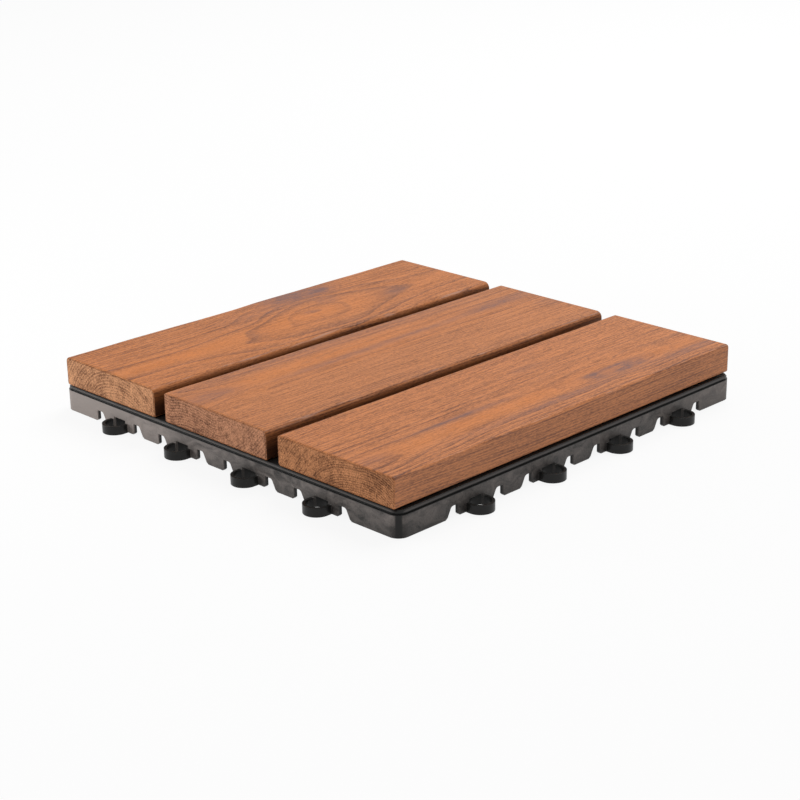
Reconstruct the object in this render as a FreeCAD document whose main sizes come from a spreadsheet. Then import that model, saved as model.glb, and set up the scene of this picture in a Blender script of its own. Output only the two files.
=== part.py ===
import FreeCAD, Part
import math
import os
import Sketcher

# Interlocking deck tile: three boards on a moulded base with loops and pegs.
# Millimetres. Origin at the tile's centre on the ground, +Z up, boards along Y.
# The loops stand on the front side (low Y) and the right side (high X), and the
# pegs on the back and left sides. The layout of each pair of sides is mirrored
# in the vertical plane through the front right corner and the centre.

# Sizes that can be set by themselves
SIZES = {
    # how far a cutting outline reaches past what it cuts
    "cut_margin": 1.0,
    # base as a whole
    "tile_side": 300.0,
    "corner_radius": 7.0,
    "skirt_wall": 2.4,
    "skirt_top": 13.4,
    "rim_groove_rise": 0.9,
    "rim_groove_depth": 1.2,
    "rim_lip_inset": 0.5,
    "rim_lip_bevel": 0.9,
    "deck_top": 16.0,
    "deck_thickness": 1.8,
    # channel inside the rim, cells between the ribs, feet and drain holes
    "underside_clear": 7.0,
    "rim_wall": 3.4,
    "rib_thickness": 1.8,
    "cells_across": 10,
    "foot_arm": 14.0,
    "foot_thickness": 2.6,
    "foot_rows": 3,
    "cells_between_feet": 3,
    "drain_hole": 21.0,
    # notches in the skirt
    "first_notch": 34.0,
    "loop_pitch": 61.0,
    "loops_per_side": 4,
    "notch_spacing": 36.6,
    "notch_top_width": 5.6,
    "notch_slant": 3.6,
    "notch_round": 2.4,
    "tooth_chamfer": 1.1,
    # loops and pegs
    "loop_place": 22.5,
    "loop_reach": 3.2,
    "loop_hole_radius": 6.5,
    "loop_wall": 1.8,
    "loop_height": 5.5,
    "peg_clearance": 0.3,
    "peg_wall": 2.0,
    "peg_lift": 0.8,
    "peg_roof": 1.4,
    "peg_neck_width": 7.6,
    "joint_gap": 0.2,
    # boards
    "board_thickness": 18.6,
    "board_end_inset": 0.2,
    "board_gap": 9.7,
    "left_board_width": 89.0,
    "middle_board_width": 92.0,
    "right_board_width": 93.0,
    "row_shift": 0.3,
    "board_end_bevel": 0.8,
    "lower_arris": 1.6,
    "left_board_left_arris": 3.2,
    "left_board_right_arris": 4.5,
    "middle_board_left_arris": 2.0,
    "middle_board_right_arris": 4.2,
    "right_board_left_arris": 2.4,
    "right_board_right_arris": 2.0,
    # screws, their posts and the rails that the boards rest on
    "seat_rise": 0.7,
    "seat_width": 12.0,
    "seat_end_inset": 8.0,
    "post_width": 11.0,
    "post_length": 3.6,
    "screw_radius": 1.9,
    "screw_hole_clearance": 0.3,
    "pilot_clearance": 0.05,
    "screw_length": 20.0,
    "head_radius": 3.8,
    "head_height": 2.3,
    "drive_width": 4.2,
    "drive_blade": 0.9,
    "drive_depth": 1.3,
}

# How close two points lie to count as the same place
TOUCH = 0.001
# One step up a sketch, and a whole turn in degrees
SKETCH_UP = FreeCAD.Vector(0, 1, 0)
FULL_TURN = 360

doc = FreeCAD.newDocument("deck_tile")
sheet = doc.addObject("Spreadsheet::Sheet", "sizes")
for row, (name, value) in enumerate(SIZES.items(), start=1):
    sheet.set(f"A{row}", name)
    sheet.set(f"B{row}", str(value))
    sheet.setAlias(f"B{row}", name)
doc.recompute()


def size(expression):
    """The number that an expression of sheet names has now."""
    return float(sheet.evalExpression(expression))


def cells(expression):
    """The expression with each sheet name written the way another object refers to it."""
    words = expression.replace("(", " ( ").replace(")", " ) ").split()
    return " ".join(f"sizes.{word}" if word in SIZES else word for word in words)


# Sizes that follow from the others
HALF = "( tile_side / 2 )"
DECK_UNDERSIDE = "( deck_top - deck_thickness )"
SEAT_TOP = "( deck_top + seat_rise )"
NOTCH_START = "( first_notch - tile_side / 2 )"
LOOP_START = f"( {NOTCH_START} + loop_place )"
LOOP_OUTER = "( loop_hole_radius + loop_wall )"
LOOP_LINE = f"( {HALF} + loop_reach )"
PEG_LINE = f"( {HALF} - loop_reach + joint_gap )"
PEG_RADIUS = "( loop_hole_radius - peg_clearance )"
PEG_TOP = "( underside_clear - peg_clearance )"
HEAD_SEAT = f"( {DECK_UNDERSIDE} - post_length )"
RIB_PITCH = "( ( tile_side - 2 * rim_wall + rib_thickness ) / cells_across )"
LATTICE_HALF = f"( {RIB_PITCH} * ( cells_across / 2 - 1 ) + rib_thickness / 2 )"
SCREW_ROW = f"( ( {LATTICE_HALF} + tile_side / 2 - rim_wall ) / 2 )"
BOARD_LENGTH = "( tile_side - 2 * board_end_inset )"
BOARDS_ACROSS = "( left_board_width + middle_board_width + right_board_width + 2 * board_gap )"
LEFT_BOARD_X = f"( row_shift - {BOARDS_ACROSS} / 2 + left_board_width / 2 )"
MIDDLE_BOARD_X = f"( {LEFT_BOARD_X} + ( left_board_width + middle_board_width ) / 2 + board_gap )"
RIGHT_BOARD_X = f"( {MIDDLE_BOARD_X} + ( middle_board_width + right_board_width ) / 2 + board_gap )"
BOARD_CENTRES = (LEFT_BOARD_X, MIDDLE_BOARD_X, RIGHT_BOARD_X)


def origin_part(body, role):
    """The body's own origin plane or axis with this role."""
    return next(item for item in body.Origin.OriginFeatures if item.Role == role)


def bind(target, place, expression):
    """Let a property follow the sheet."""
    target.setExpression(place, cells(expression))


def sketch_on(body, name, role, height="0"):
    """An empty sketch on an origin plane of its body, raised along the plane's normal."""
    sketch = body.newObject("Sketcher::SketchObject", name)
    sketch.AttachmentSupport = [(origin_part(body, role), "")]
    sketch.MapMode = "FlatFace"
    bind(sketch, "AttachmentOffset.Base.z", height)
    return sketch


def fix_point(sketch, geometry, end, x, y):
    """Pin a point of the sketch at x, y, both given as expressions."""
    for kind, expression in (("DistanceX", x), ("DistanceY", y)):
        rule = Sketcher.Constraint(kind, -1, 1, geometry, end, size(expression))
        index = sketch.addConstraint(rule)
        bind(sketch, f"Constraints[{index}]", expression)


def fix_radius(sketch, geometry, expression):
    """Give an arc or circle its radius."""
    index = sketch.addConstraint(Sketcher.Constraint("Radius", geometry, size(expression)))
    bind(sketch, f"Constraints[{index}]", expression)


def circle(sketch, x, y, radius):
    """A circle about x, y."""
    centre = FreeCAD.Vector(size(x), size(y), 0)
    made = sketch.addGeometry(Part.Circle(centre, FreeCAD.Vector(0, 0, 1), size(radius)), False)
    fix_point(sketch, made, 3, x, y)
    fix_radius(sketch, made, radius)


def outline(sketch, corners):
    """A closed outline through corners (x, y, rounding), where the rounding may be None."""
    count = len(corners)
    points = [FreeCAD.Vector(size(x), size(y), 0) for x, y, rounding in corners]
    rounds = [size(rounding) if rounding else 0.0 for x, y, rounding in corners]

    def setback(index):
        """How far the rounding at a corner reaches along its two lines."""
        into = (points[index] - points[index - 1]).normalize()
        away = (points[(index + 1) % count] - points[index]).normalize()
        turn = into.getAngle(away)
        return rounds[index] * math.tan(turn / 2)

    setbacks = [setback(index) if rounds[index] else 0.0 for index in range(count)]
    lines = []
    for index in range(count):
        follower = (index + 1) % count
        along = (points[follower] - points[index]).normalize()
        start = points[index] + along * setbacks[index]
        end = points[follower] - along * setbacks[follower]
        lines.append(sketch.addGeometry(Part.LineSegment(start, end), False))
    for index, (x, y, rounding) in enumerate(corners):
        before = lines[index - 1]
        after = lines[index]
        if not rounding:
            sketch.addConstraint(Sketcher.Constraint("Coincident", before, 2, after, 1))
            fix_point(sketch, after, 1, x, y)
            continue
        start = sketch.getPoint(before, 2)
        end = sketch.getPoint(after, 1)
        middle = (start + end) / 2
        bisector = (middle - points[index]).normalize()
        half_chord = (end - start).Length / 2
        drop = rounds[index] - (rounds[index] ** 2 - half_chord ** 2) ** 0.5
        arc = sketch.addGeometry(Part.Arc(start, middle - bisector * drop, end), False)
        first, last = (1, 2) if (sketch.getPoint(arc, 1) - start).Length < drop / 10 else (2, 1)
        sketch.addConstraint(Sketcher.Constraint("Tangent", before, 2, arc, first))
        sketch.addConstraint(Sketcher.Constraint("Tangent", arc, last, after, 1))
        fix_radius(sketch, arc, rounding)
        corner = sketch.addGeometry(Part.Point(points[index]), True)
        sketch.addConstraint(Sketcher.Constraint("PointOnObject", corner, 1, before))
        sketch.addConstraint(Sketcher.Constraint("PointOnObject", corner, 1, after))
        fix_point(sketch, corner, 1, x, y)


def tongue_outline(sketch, x, y, back, radius):
    """A straight-sided tongue from the line back forwards to a half-round end about x, y."""
    centre = FreeCAD.Vector(size(x), size(y), 0)
    side = FreeCAD.Vector(size(radius), 0, 0)
    front = FreeCAD.Vector(0, -size(radius), 0)
    depth = FreeCAD.Vector(0, size(back) - size(y), 0)
    right = sketch.addGeometry(Part.LineSegment(centre + side, centre + side + depth), False)
    far = sketch.addGeometry(Part.LineSegment(centre + side + depth, centre - side + depth), False)
    left = sketch.addGeometry(Part.LineSegment(centre - side + depth, centre - side), False)
    end = sketch.addGeometry(Part.Arc(centre - side, centre + front, centre + side), False)
    sketch.addConstraint(Sketcher.Constraint("Coincident", right, 2, far, 1))
    sketch.addConstraint(Sketcher.Constraint("Coincident", far, 2, left, 1))
    sketch.addConstraint(Sketcher.Constraint("Tangent", left, 2, end, 1))
    sketch.addConstraint(Sketcher.Constraint("Tangent", end, 2, right, 1))
    sketch.addConstraint(Sketcher.Constraint("Vertical", right))
    sketch.addConstraint(Sketcher.Constraint("Vertical", left))
    sketch.addConstraint(Sketcher.Constraint("Horizontal", far))
    index = sketch.addConstraint(Sketcher.Constraint("DistanceY", -1, 1, far, 1, size(back)))
    bind(sketch, f"Constraints[{index}]", back)
    fix_point(sketch, end, 3, x, y)
    fix_radius(sketch, end, radius)


def box_outline(sketch, low_x, high_x, low_y, high_y, rounding=None):
    """A rectangle between four sides."""
    outline(sketch, [
        (low_x, low_y, rounding),
        (high_x, low_y, rounding),
        (high_x, high_y, rounding),
        (low_x, high_y, rounding),
    ])


def square_outline(sketch, half, rounding=None):
    """A square about the origin."""
    box_outline(sketch, f"( - {half} )", half, f"( - {half} )", half, rounding)


def pad(body, sketch, name, length, along_normal=True):
    """Material along the sketch's normal, or against it."""
    feature = body.newObject("PartDesign::Pad", name)
    feature.Profile = sketch
    feature.Reversed = not along_normal
    bind(feature, "Length", length)
    body.Tip = feature
    return feature


def pocket(body, sketch, name, length, along_normal=False):
    """A cut against the sketch's normal, or along it."""
    feature = body.newObject("PartDesign::Pocket", name)
    feature.Profile = sketch
    feature.Reversed = along_normal
    bind(feature, "Length", length)
    body.Tip = feature
    return feature


def row_of(body, name, originals, axis, spacing, count, spacing_2=None, count_2=None):
    """Equal features in a row along an axis, or in a grid along X and then Y."""
    pattern = body.newObject("PartDesign::LinearPattern", name)
    pattern.Originals = originals
    pattern.Direction = (origin_part(body, axis), [""])
    pattern.Mode = "Spacing"
    bind(pattern, "Offset", spacing)
    bind(pattern, "Occurrences", count)
    if spacing_2:
        pattern.Direction2 = (origin_part(body, "Y_Axis"), [""])
        pattern.Mode2 = "Spacing"
        bind(pattern, "Offset2", spacing_2)
        bind(pattern, "Occurrences2", count_2)
    if originals:
        body.Tip = pattern
    return pattern


def both_sides(body, name, originals, diagonal):
    """A row of equal features along one side of the tile, and its mirror image on the next."""
    row = row_of(body, f"{name}_row", [], "X_Axis", "loop_pitch", "loops_per_side")
    mirrored = body.newObject("PartDesign::Mirrored", f"{name}_mirrored")
    mirrored.MirrorPlane = (diagonal, [""])
    pattern = body.newObject("PartDesign::MultiTransform", name)
    pattern.Originals = originals
    pattern.Transformations = [row, mirrored]
    body.Tip = pattern
    return pattern


def bevel_edges(body, name, wanted, amount):
    """Chamfer the edges of the body's tip that the test wants."""
    doc.recompute()
    base = body.Tip
    names = [f"Edge{index}" for index, edge in enumerate(base.Shape.Edges, start=1) if wanted(edge)]
    feature = body.newObject("PartDesign::Chamfer", name)
    feature.Base = (base, names)
    bind(feature, "Size", amount)
    body.Tip = feature
    return feature


def notch_outline(sketch, start, top_width):
    """A notch up from the ground: upright wall at low X, slanted wall at high X."""
    below = "( - cut_margin )"
    slant_foot = f"( {start} + {top_width} + notch_slant )"
    slant_rise = "( tooth_chamfer * notch_slant / underside_clear )"
    outline(sketch, [
        (f"( {start} - tooth_chamfer )", below, None),
        (f"( {start} - tooth_chamfer )", "0", None),
        (start, "tooth_chamfer", None),
        (start, "underside_clear", None),
        (f"( {start} + {top_width} )", "underside_clear", "notch_round"),
        (f"( {slant_foot} - {slant_rise} )", "tooth_chamfer", None),
        (f"( {slant_foot} + tooth_chamfer )", "0", None),
        (f"( {slant_foot} + tooth_chamfer )", below, None),
    ])


def build_shell(base):
    """The outer frame of the deck with its rim step, hollowed from below."""
    slab_sketch = sketch_on(base, "slab_sketch", "XY_Plane")
    square_outline(slab_sketch, HALF, "corner_radius")
    square_outline(slab_sketch, LATTICE_HALF)
    pad(base, slab_sketch, "slab", "deck_top")

    groove_sketch = sketch_on(base, "rim_groove_sketch", "XY_Plane", "skirt_top")
    square_outline(groove_sketch, f"( {HALF} + cut_margin )")
    square_outline(groove_sketch, f"( {HALF} - rim_groove_depth )", "( corner_radius - rim_groove_depth )")
    pocket(base, groove_sketch, "rim_groove", "rim_groove_rise", along_normal=True)

    lip_sketch = sketch_on(base, "rim_lip_sketch", "XY_Plane", "deck_top")
    square_outline(lip_sketch, f"( {HALF} + cut_margin )")
    square_outline(lip_sketch, f"( {HALF} - rim_lip_inset )", "( corner_radius - rim_lip_inset )")
    pocket(base, lip_sketch, "rim_lip", "( deck_top - skirt_top - rim_groove_rise )")
    top = size("deck_top")
    bevel_edges(
        base,
        "rim_bevel",
        lambda edge: all(abs(vertex.Z - top) < TOUCH for vertex in edge.Vertexes),
        "rim_lip_bevel",
    )

    cavity_sketch = sketch_on(base, "cavity_sketch", "XY_Plane")
    square_outline(cavity_sketch, f"( {HALF} - skirt_wall )", "( corner_radius - skirt_wall )")
    pocket(base, cavity_sketch, "cavity", "underside_clear", along_normal=True)


def build_channel(base):
    """A channel inside the rim, crossed by every second rib, clear of the screws."""
    depth = f"( {DECK_UNDERSIDE} - underside_clear )"
    channel_sketch = sketch_on(base, "channel_sketch", "XY_Plane", "underside_clear")
    square_outline(channel_sketch, f"( {HALF} - rim_wall )", "( corner_radius - rim_wall )")
    pocket(base, channel_sketch, "channel", depth, along_normal=True)

    start = f"( {LATTICE_HALF} - rib_thickness / 2 )"
    end = f"( {HALF} - skirt_wall )"
    place = f"( - {RIB_PITCH} * ( cells_across / 2 - 2 ) )"
    across = (f"( {place} - rib_thickness / 2 )", f"( {place} + rib_thickness / 2 )")
    for name, axis in (("ribs_along_x", "Y_Axis"), ("ribs_along_y", "X_Axis")):
        sketch = sketch_on(base, f"{name}_sketch", "XY_Plane", "underside_clear")
        for along in ((start, end), (f"( - {end} )", f"( - {start} )")):
            sides = (*along, *across) if axis == "Y_Axis" else (*across, *along)
            box_outline(sketch, *sides)
        rib = pad(base, sketch, f"{name}_first", depth)
        row_of(base, name, [rib], axis, f"( 2 * {RIB_PITCH} )", "( cells_across / 2 - 1 )")


def build_lattice():
    """The middle of the base: cross-shaped feet, and square cells with a drain hole each."""
    lattice = doc.addObject("PartDesign::Body", "lattice")
    block_sketch = sketch_on(lattice, "lattice_sketch", "XY_Plane", "underside_clear")
    square_outline(block_sketch, LATTICE_HALF)
    pad(lattice, block_sketch, "lattice_block", "( deck_top - underside_clear )")

    foot_sketch = sketch_on(lattice, "foot_sketch", "XY_Plane")
    step = f"( cells_between_feet * {RIB_PITCH} )"
    place = f"( - {step} * ( foot_rows - 1 ) / 2 )"
    cross_outline(foot_sketch, place, "( foot_arm / 2 )", "( foot_thickness / 2 )")
    foot = pad(lattice, foot_sketch, "foot_first", "underside_clear")
    row_of(lattice, "feet", [foot], "X_Axis", step, "foot_rows", step, "foot_rows")

    cell_sketch = sketch_on(lattice, "cell_sketch", "XY_Plane", "underside_clear")
    low = f"( rib_thickness - {LATTICE_HALF} )"
    high = f"( {RIB_PITCH} - {LATTICE_HALF} )"
    box_outline(cell_sketch, low, high, low, high)
    depth = f"( {DECK_UNDERSIDE} - underside_clear )"
    cell = pocket(lattice, cell_sketch, "cell_first", depth, along_normal=True)

    drain_sketch = sketch_on(lattice, "drain_sketch", "XY_Plane", DECK_UNDERSIDE)
    low = f"( ( {RIB_PITCH} + rib_thickness - drain_hole ) / 2 - {LATTICE_HALF} )"
    high = f"( ( {RIB_PITCH} + rib_thickness + drain_hole ) / 2 - {LATTICE_HALF} )"
    box_outline(drain_sketch, low, high, low, high)
    drain = pocket(lattice, drain_sketch, "drain_first", "deck_thickness", along_normal=True)
    count = "( cells_across - 2 )"
    row_of(lattice, "cells", [cell, drain], "X_Axis", RIB_PITCH, count, RIB_PITCH, count)
    return lattice


def cross_outline(sketch, place, reach, blade):
    """A plus sign about the point that lies at place on both axes."""
    corners = []
    for turn in range(4):
        for x, y in [(reach, f"( - {blade} )"), (reach, blade), (blade, blade)]:
            for _ in range(turn):
                x, y = f"( - {y} )", x
            corners.append((f"( {place} + {x} )", f"( {place} + {y} )", None))
    outline(sketch, corners)


def screw_places():
    """Where the screws stand in the channel, as expressions: one under each end of a board."""
    return [(centre, f"( {end} * {SCREW_ROW} )") for centre in BOARD_CENTRES for end in (-1, 1)]


def build_seats(base):
    """Low rails across the deck that the boards rest on, one over each row of screws."""
    sketch = sketch_on(base, "seat_sketch", "XY_Plane", "deck_top")
    end = f"( {HALF} - seat_end_inset )"
    for side in (-1, 1):
        low = f"( {side} * {SCREW_ROW} - seat_width / 2 )"
        high = f"( {side} * {SCREW_ROW} + seat_width / 2 )"
        box_outline(sketch, f"( - {end} )", end, low, high)
    pad(base, sketch, "seats", "seat_rise")


def build_screw_posts(base):
    """Square posts under the deck, each with a hole for its screw."""
    posts = sketch_on(base, "screw_post_sketch", "XY_Plane", HEAD_SEAT)
    holes = sketch_on(base, "screw_hole_sketch", "XY_Plane", HEAD_SEAT)
    side = "( post_width / 2 )"
    for x, y in screw_places():
        box_outline(posts, f"( {x} - {side} )", f"( {x} + {side} )", f"( {y} - {side} )", f"( {y} + {side} )")
        circle(holes, x, y, "( screw_radius + screw_hole_clearance )")
    pad(base, posts, "screw_posts", "post_length")
    pocket(base, holes, "screw_holes", f"( {SEAT_TOP} - {HEAD_SEAT} )", along_normal=True)


def build_skirt_notches(base, diagonal):
    """Notches beside the loops on two sides, and wide openings for a neighbour's loops on the others."""
    through = "( skirt_wall + 2 * cut_margin )"
    outside = f"( {HALF} + cut_margin )"

    loop_side = sketch_on(base, "loop_side_notch_sketch", "XZ_Plane", outside)
    notch_outline(loop_side, NOTCH_START, "notch_top_width")
    notch_outline(loop_side, f"( {NOTCH_START} + notch_spacing )", "notch_top_width")
    notches = pocket(base, loop_side, "loop_side_notch_first", through)
    both_sides(base, "loop_side_notches", [notches], diagonal)

    peg_side = sketch_on(base, "peg_side_opening_sketch", "XZ_Plane", f"( - {outside} )")
    notch_outline(peg_side, NOTCH_START, "( notch_spacing + notch_top_width )")
    opening = pocket(base, peg_side, "peg_side_opening_first", through, along_normal=True)
    both_sides(base, "peg_side_openings", [opening], diagonal)


def build_loops(base, diagonal):
    """Low round-ended loops that reach through the skirt, each hole cut a little into it."""
    line = f"( - {LOOP_LINE} )"

    loop_sketch = sketch_on(base, "loop_sketch", "XY_Plane")
    tongue_outline(loop_sketch, LOOP_START, line, f"( {line} + {LOOP_OUTER} )", LOOP_OUTER)
    loop = pad(base, loop_sketch, "loop_first", "loop_height")

    hole_sketch = sketch_on(base, "loop_hole_sketch", "XY_Plane")
    circle(hole_sketch, LOOP_START, line, "loop_hole_radius")
    hole = pocket(base, hole_sketch, "loop_hole_first", "underside_clear", along_normal=True)
    both_sides(base, "loops", [loop, hole], diagonal)


def build_pegs(base, diagonal):
    """Hollow pegs that stand in the openings, each under a neck that ties it to skirt and deck."""
    neck_bottom = "( loop_height + peg_clearance )"
    neck_sketch = sketch_on(base, "peg_neck_sketch", "XY_Plane", neck_bottom)
    box_outline(
        neck_sketch,
        f"( {LOOP_START} - peg_neck_width / 2 )",
        f"( {LOOP_START} + peg_neck_width / 2 )",
        f"( {PEG_LINE} - {PEG_RADIUS} + peg_roof )",
        f"( {HALF} - skirt_wall / 2 )",
    )
    neck = pad(base, neck_sketch, "peg_neck_first", f"( {DECK_UNDERSIDE} - {neck_bottom} )")

    cup_sketch = sketch_on(base, "peg_half_section", "XZ_Plane", f"( - {PEG_LINE} )")
    inner = f"( {PEG_RADIUS} - peg_wall )"
    section = [
        (inner, "peg_lift"),
        (PEG_RADIUS, "peg_lift"),
        (PEG_RADIUS, PEG_TOP),
        ("0", PEG_TOP),
        ("0", f"( {PEG_TOP} - peg_roof )"),
        (inner, f"( {PEG_TOP} - peg_roof )"),
    ]
    outline(cup_sketch, [(f"( {LOOP_START} + {x} )", z, None) for x, z in section])
    axis_point = cup_sketch.Geometry[3].StartPoint
    axis = cup_sketch.addGeometry(Part.LineSegment(axis_point, axis_point + SKETCH_UP), True)
    fix_point(cup_sketch, axis, 1, LOOP_START, PEG_TOP)
    cup_sketch.addConstraint(Sketcher.Constraint("Vertical", axis))
    cup_sketch.addConstraint(Sketcher.Constraint("DistanceY", axis, 1, axis, 2, SKETCH_UP.Length))
    cup = base.newObject("PartDesign::Revolution", "peg_first")
    cup.Profile = cup_sketch
    cup.ReferenceAxis = (cup_sketch, ["Axis0"])
    cup.Angle = FULL_TURN
    base.Tip = cup
    both_sides(base, "pegs", [neck, cup], diagonal)


def build_base():
    """The moulded base."""
    base = doc.addObject("PartDesign::Body", "base")
    diagonal = base.newObject("PartDesign::Plane", "front_corner_diagonal")
    diagonal.AttachmentSupport = [(origin_part(base, "YZ_Plane"), "")]
    diagonal.MapMode = "FlatFace"
    eighth_turn = FreeCAD.Rotation(FreeCAD.Vector(0, 1, 0), FULL_TURN / 8)
    diagonal.AttachmentOffset = FreeCAD.Placement(FreeCAD.Vector(), eighth_turn)
    build_shell(base)
    build_skirt_notches(base, diagonal)
    build_channel(base)
    build_loops(base, diagonal)
    build_pegs(base, diagonal)
    build_seats(base)
    build_screw_posts(base)
    whole = base.newObject("PartDesign::Boolean", "lattice_joined")
    whole.Type = "Fuse"
    whole.Refine = True
    whole.setObjects([build_lattice()])
    base.Tip = whole
    return base


def build_board(name, width, left_arris, right_arris, centre):
    """A planed board with rounded long edges, bevelled ends and blind pilot holes for its screws."""
    board = doc.addObject("PartDesign::Body", name)
    section = sketch_on(board, f"{name}_section", "XZ_Plane", f"( - {BOARD_LENGTH} / 2 )")
    side = f"( {width} / 2 )"
    outline(section, [
        (f"( - {side} )", "0", "lower_arris"),
        (side, "0", "lower_arris"),
        (side, "board_thickness", right_arris),
        (f"( - {side} )", "board_thickness", left_arris),
    ])
    pad(board, section, f"{name}_plank", BOARD_LENGTH)
    end = size(BOARD_LENGTH) / 2
    bevel_edges(
        board,
        f"{name}_ends",
        lambda edge: all(abs(abs(vertex.Y) - end) < TOUCH for vertex in edge.Vertexes),
        "board_end_bevel",
    )
    pilots = sketch_on(board, f"{name}_pilots_sketch", "XY_Plane")
    for side in (-1, 1):
        circle(pilots, "0", f"( {side} * {SCREW_ROW} )", "( screw_radius + pilot_clearance )")
    depth = f"( {HEAD_SEAT} + screw_length + cut_margin - {SEAT_TOP} )"
    pocket(board, pilots, f"{name}_pilots", depth, along_normal=True)
    bind(board, "Placement.Base.x", centre)
    bind(board, "Placement.Base.z", SEAT_TOP)
    return board


def build_screw():
    """One pan-head screw, its head's seat at the origin and its shank up."""
    screw = doc.addObject("PartDesign::Body", "screw")
    half_section = sketch_on(screw, "screw_half_section", "XZ_Plane")
    outline(half_section, [
        ("0", "( - head_height )", None),
        ("head_radius", "( - head_height )", None),
        ("head_radius", "0", None),
        ("screw_radius", "0", None),
        ("screw_radius", "screw_length", None),
        ("0", "screw_length", None),
    ])
    turned = screw.newObject("PartDesign::Revolution", "screw_turned")
    turned.Profile = half_section
    turned.ReferenceAxis = (half_section, ["V_Axis"])
    turned.Angle = FULL_TURN
    screw.Tip = turned

    drive = sketch_on(screw, "screw_drive_sketch", "XY_Plane", "( - head_height )")
    cross_outline(drive, "0", "( drive_width / 2 )", "( drive_blade / 2 )")
    pocket(screw, drive, "screw_drive", "drive_depth", along_normal=True)
    return screw


def build_screw_group(screw):
    """All the screws as one group of separate solids."""
    doc.recompute()
    copies = []
    for x, y in screw_places():
        copy = screw.Shape.copy()
        copy.translate(FreeCAD.Vector(size(x), size(y), size(HEAD_SEAT)))
        copies.append(copy)
    group = doc.addObject("Part::Feature", "board_screws")
    group.Shape = Part.makeCompound(copies)
    return group


def check_and_write(nodes):
    """Stop at anything that failed, then write each node's shape to its file."""
    doc.recompute()
    for item in doc.Objects:
        if "Invalid" in item.State or "Error" in item.State:
            raise RuntimeError(f"{item.Name} failed: {item.State}")
        if item.TypeId == "PartDesign::Pocket" and item.Shape.Volume >= item.BaseFeature.Shape.Volume:
            raise RuntimeError(f"{item.Name} cuts nothing")
        if item.TypeId == "PartDesign::Pad" and item.BaseFeature:
            if item.Shape.Volume <= item.BaseFeature.Shape.Volume:
                raise RuntimeError(f"{item.Name} adds nothing")
    os.makedirs("parts", exist_ok=True)
    for node in nodes:
        shape = node.Shape
        if shape.isNull() or not shape.isValid():
            raise RuntimeError(f"{node.Label} has no valid shape")
        shape.exportStep(f"parts/{node.Label}.step")
        box = shape.BoundBox
        print(
            node.Label,
            "solids", len(shape.Solids),
            "faces", len(shape.Faces),
            "volume", round(shape.Volume),
            "box", [round(v, 2) for v in (box.XMin, box.XMax, box.YMin, box.YMax, box.ZMin, box.ZMax)],
        )


boards = [
    build_board(
        f"{side}_board",
        f"{side}_board_width",
        f"{side}_board_left_arris",
        f"{side}_board_right_arris",
        centre,
    )
    for side, centre in zip(("left", "middle", "right"), BOARD_CENTRES)
]
screws = build_screw_group(build_screw())
base = build_base()
check_and_write([base, *boards, screws])
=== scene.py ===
import math

import bpy
import numpy as np
from mathutils import Matrix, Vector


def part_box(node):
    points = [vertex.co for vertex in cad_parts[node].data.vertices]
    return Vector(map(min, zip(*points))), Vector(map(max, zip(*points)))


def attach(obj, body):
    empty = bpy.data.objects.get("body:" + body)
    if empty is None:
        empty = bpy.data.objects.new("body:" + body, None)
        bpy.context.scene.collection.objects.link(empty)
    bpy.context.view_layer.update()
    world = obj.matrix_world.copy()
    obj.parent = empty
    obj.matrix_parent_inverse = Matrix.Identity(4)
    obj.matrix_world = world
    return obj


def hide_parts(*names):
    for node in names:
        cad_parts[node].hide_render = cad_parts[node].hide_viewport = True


# Dresses the deck tile: three planed softwood boards with their own grain, a black
# moulded base and zinc-plated screws, on a white floor under soft studio light.
# Metres, in the frame of the solids. Grain and wear are given in millimetres: u runs
# across a board from its left side, v along the tile from its middle, and w up from
# the board's underside.

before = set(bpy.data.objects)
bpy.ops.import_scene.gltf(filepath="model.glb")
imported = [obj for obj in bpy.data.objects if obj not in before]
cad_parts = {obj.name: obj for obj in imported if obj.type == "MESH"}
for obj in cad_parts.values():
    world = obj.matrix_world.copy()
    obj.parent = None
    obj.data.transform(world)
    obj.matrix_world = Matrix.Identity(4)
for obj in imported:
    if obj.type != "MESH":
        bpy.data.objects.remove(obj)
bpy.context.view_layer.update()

MM = 0.001
SEED = 7

# The base's outer wall: its distance from the middle, its top below the rim's groove, and
# the lip above that groove
SKIRT_FACE = 150.0
SKIRT_TOP = 13.4
LIP_FOOT = 14.6
LIP_TOP = 16.2
FIRST_LOOP = -93.5
LOOP_PITCH = 61.0

# Colours, from 0 to 255
ORANGE = (212, 126, 58)
PURPLE = (122, 86, 78)
# Painted shade at the foot of the boards' sides
GAP_SHADE = (46, 24, 15)
# Painted highlight on the arrises, and painted light on a board's right side
PAINTED_LIGHT = (196, 158, 140)
CLEAN_PLASTIC = (25, 24, 23)
# Dust on the skirt, and painted light on its front and far ends
DUST_AND_LIGHT_PLASTIC = (150, 141, 136)
# Painted shade in the rim's groove
GROOVE_SHADE = (8, 8, 8)
YELLOW_ZINC = (196, 186, 158)
BLUE_ZINC = (186, 190, 196)

# The curve between a screen's colours and light: a straight foot, then a power
SCREEN_WHITE = 255
FOOT_END = 0.04045
FOOT_SLOPE = 12.92
CURVE_SHIFT = 0.055
CURVE_POWER = 2.4


def paint(red, green, blue):
    """A colour as shaders take it, from the 0 to 255 values of a screen."""
    def linear(value):
        share = value / SCREEN_WHITE
        if share <= FOOT_END:
            return share / FOOT_SLOPE
        return ((share + CURVE_SHIFT) / (1 + CURVE_SHIFT)) ** CURVE_POWER
    return (linear(red), linear(green), linear(blue), 1.0)


# The middle of a noise's range, and the places of the colours among a mix node's sockets
NOISE_MIDDLE = 0.5
MIX_FIRST = 6
MIX_SECOND = 7
MIX_COLOUR = 2
BEVEL_SAMPLES = 8


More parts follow.
